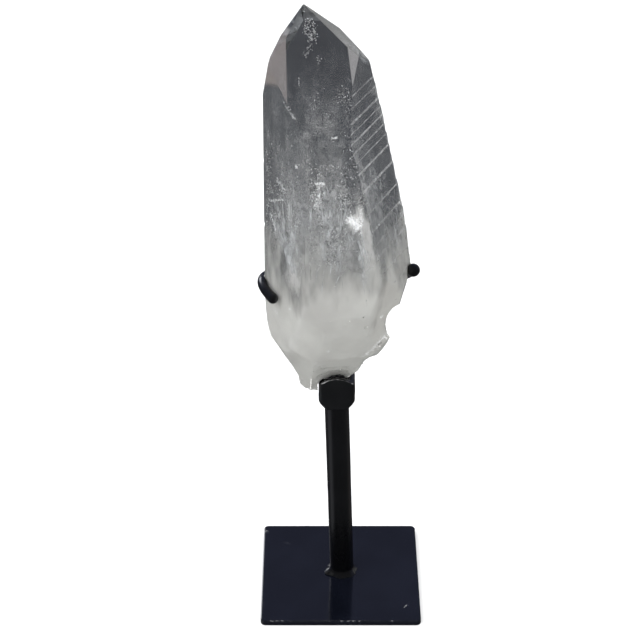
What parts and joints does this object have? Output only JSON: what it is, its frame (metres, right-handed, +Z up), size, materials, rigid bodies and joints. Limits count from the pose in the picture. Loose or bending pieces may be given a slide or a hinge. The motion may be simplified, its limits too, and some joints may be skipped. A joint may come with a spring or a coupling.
{
  "type": "clear quartz point on a stand",
  "caption": "Tall clear quartz point with a milky broken root, standing upright in a black steel seat with bent wire arms on a post and square plate.",
  "frame": {"origin": "centre of the base plate's underside", "axes": "+Z up along the post and the crystal; the viewer looks along +Y at the crystal's largest termination face"},
  "size_m": [0.0801, 0.08, 0.3069],
  "materials": {
    "quartz": "natural crystal faces, clear above and milky at the root",
    "black_paint": "hand-painted semi-gloss",
    "plate_paint": "semi-gloss with worn edges",
    "putty": "matt and lumpy"
  },
  "bodies": {
    "root": {"quartz_point": "quartz", "seat_putty": "putty", "stone_seat": "black_paint", "post": "black_paint", "left_arm": "black_paint", "right_arm": "black_paint", "base_plate": "plate_paint"}
  },
  "joints": []
}
